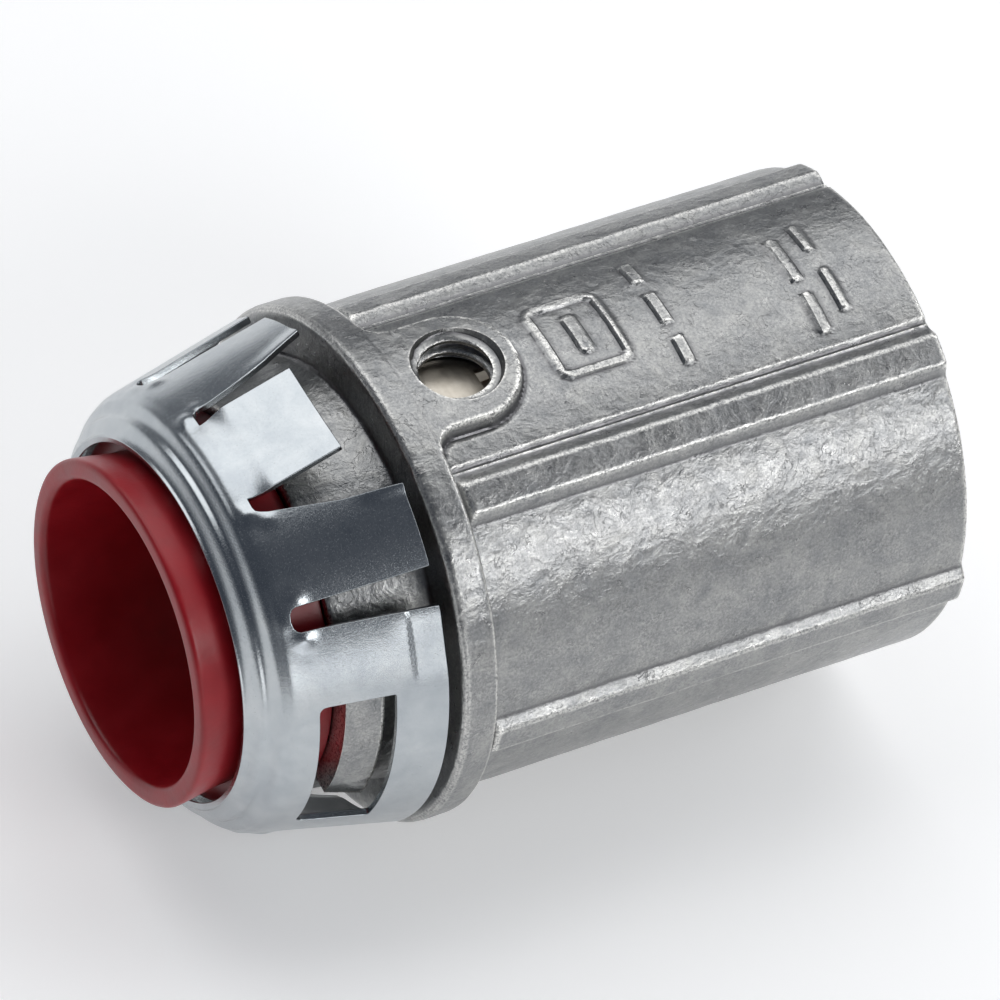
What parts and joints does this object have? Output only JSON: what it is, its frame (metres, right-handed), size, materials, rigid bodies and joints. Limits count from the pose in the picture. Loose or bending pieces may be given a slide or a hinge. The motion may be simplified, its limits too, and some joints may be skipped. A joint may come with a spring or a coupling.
{
  "type": "snap-in conduit connector",
  "caption": "Die-cast snap-in connector for flexible conduit: slotted spring ring that locks in a box knockout, red insulated throat, and inner spring tangs that grip the conduit.",
  "frame": {"origin": "on the bore's axis, in the plane of the flange face that stops on the box wall", "axes": "+X along the bore towards the conduit entry, -X towards the nose inside the box, +Z out of the screw hole, Y completes the right-handed set"},
  "size_m": [0.0513, 0.033, 0.0332],
  "materials": {
    "cast_zinc": "as-cast zinc alloy, mottled satin with fine scratches",
    "red_plastic": "moulded red nylon, semi-gloss",
    "ring_steel": "bright zinc-plated spring steel with a faint blue tint",
    "sleeve_steel": "plain spring steel strip"
  },
  "bodies": {
    "fitting": {"connector_body": "cast_zinc", "throat_bushing": "red_plastic", "snap_ring": "ring_steel", "retainer_sleeve": "sleeve_steel"},
    "locking_tang_top": {"locking_tang_top": "ring_steel"},
    "locking_tang_bottom": {"locking_tang_bottom": "ring_steel"},
    "skirt_panel_left": {"skirt_panel_left": "ring_steel"},
    "skirt_panel_right": {"skirt_panel_right": "ring_steel"},
    "skirt_finger_top_left": {"skirt_finger_top_left": "ring_steel"},
    "skirt_finger_top_right": {"skirt_finger_top_right": "ring_steel"},
    "skirt_finger_bottom_left": {"skirt_finger_bottom_left": "ring_steel"},
    "skirt_finger_bottom_right": {"skirt_finger_bottom_right": "ring_steel"},
    "grip_tang_front_1": {"grip_tang_front_1": "sleeve_steel"},
    "grip_tang_front_2": {"grip_tang_front_2": "sleeve_steel"},
    "grip_tang_front_3": {"grip_tang_front_3": "sleeve_steel"},
    "grip_tang_rear_1": {"grip_tang_rear_1": "sleeve_steel"},
    "grip_tang_rear_2": {"grip_tang_rear_2": "sleeve_steel"},
    "grip_tang_rear_3": {"grip_tang_rear_3": "sleeve_steel"}
  },
  "joints": [
    {"name": "locking_tang_top_flex", "type": "hinge", "parent": "fitting", "child": "locking_tang_top", "pos_m": [-0.00965, 0, 0.01384], "axis": [0, 1, 0], "range_deg": [0, 25], "stiffness_Nm_per_rad": 0.35},
    {"name": "locking_tang_bottom_flex", "type": "hinge", "parent": "fitting", "child": "locking_tang_bottom", "pos_m": [-0.00965, 0, -0.01384], "axis": [0, -1, 0], "range_deg": [0, 25], "stiffness_Nm_per_rad": 0.35},
    {"name": "skirt_panel_left_flex", "type": "hinge", "parent": "fitting", "child": "skirt_panel_left", "pos_m": [-0.00965, -0.01384, 0], "axis": [0, 0, 1], "range_deg": [0, 12.5], "stiffness_Nm_per_rad": 1.2},
    {"name": "skirt_panel_right_flex", "type": "hinge", "parent": "fitting", "child": "skirt_panel_right", "pos_m": [-0.00965, 0.01384, 0], "axis": [0, 0, -1], "range_deg": [0, 12.5], "stiffness_Nm_per_rad": 1.2},
    {"name": "skirt_finger_top_left_flex", "type": "hinge", "parent": "fitting", "child": "skirt_finger_top_left", "pos_m": [-0.00965, -0.00692, 0.01198], "axis": [0, 0.866, 0.5], "range_deg": [0, 12.5], "stiffness_Nm_per_rad": 0.35},
    {"name": "skirt_finger_top_right_flex", "type": "hinge", "parent": "fitting", "child": "skirt_finger_top_right", "pos_m": [-0.00965, 0.00692, 0.01198], "axis": [0, 0.866, -0.5], "range_deg": [0, 12.5], "stiffness_Nm_per_rad": 0.35},
    {"name": "skirt_finger_bottom_left_flex", "type": "hinge", "parent": "fitting", "child": "skirt_finger_bottom_left", "pos_m": [-0.00965, -0.00692, -0.01198], "axis": [0, -0.866, 0.5], "range_deg": [0, 12.5], "stiffness_Nm_per_rad": 0.35},
    {"name": "skirt_finger_bottom_right_flex", "type": "hinge", "parent": "fitting", "child": "skirt_finger_bottom_right", "pos_m": [-0.00965, 0.00692, -0.01198], "axis": [0, -0.866, -0.5], "range_deg": [0, 12.5], "stiffness_Nm_per_rad": 0.35},
    {"name": "grip_tang_front_1_flex", "type": "hinge", "parent": "fitting", "child": "grip_tang_front_1", "pos_m": [0.0138, -0.00241, 0.01364], "axis": [0, 0.9848, 0.1736], "range_deg": [0, 13], "stiffness_Nm_per_rad": 0.2},
    {"name": "grip_tang_front_2_flex", "type": "hinge", "parent": "fitting", "child": "grip_tang_front_2", "pos_m": [0.0138, -0.01061, -0.0089], "axis": [0, -0.6428, 0.766], "range_deg": [0, 13], "stiffness_Nm_per_rad": 0.2},
    {"name": "grip_tang_front_3_flex", "type": "hinge", "parent": "fitting", "child": "grip_tang_front_3", "pos_m": [0.0138, 0.01301, -0.00474], "axis": [0, -0.342, -0.9397], "range_deg": [0, 13], "stiffness_Nm_per_rad": 0.2},
    {"name": "grip_tang_rear_1_flex", "type": "hinge", "parent": "fitting", "child": "grip_tang_rear_1", "pos_m": [0.021, 0.01061, 0.0089], "axis": [0, 0.6428, -0.766], "range_deg": [0, 13], "stiffness_Nm_per_rad": 0.2},
    {"name": "grip_tang_rear_2_flex", "type": "hinge", "parent": "fitting", "child": "grip_tang_rear_2", "pos_m": [0.021, -0.01301, 0.00474], "axis": [0, 0.342, 0.9397], "range_deg": [0, 13], "stiffness_Nm_per_rad": 0.2},
    {"name": "grip_tang_rear_3_flex", "type": "hinge", "parent": "fitting", "child": "grip_tang_rear_3", "pos_m": [0.021, 0.00241, -0.01364], "axis": [0, -0.9848, -0.1736], "range_deg": [0, 13], "stiffness_Nm_per_rad": 0.2}
  ]
}
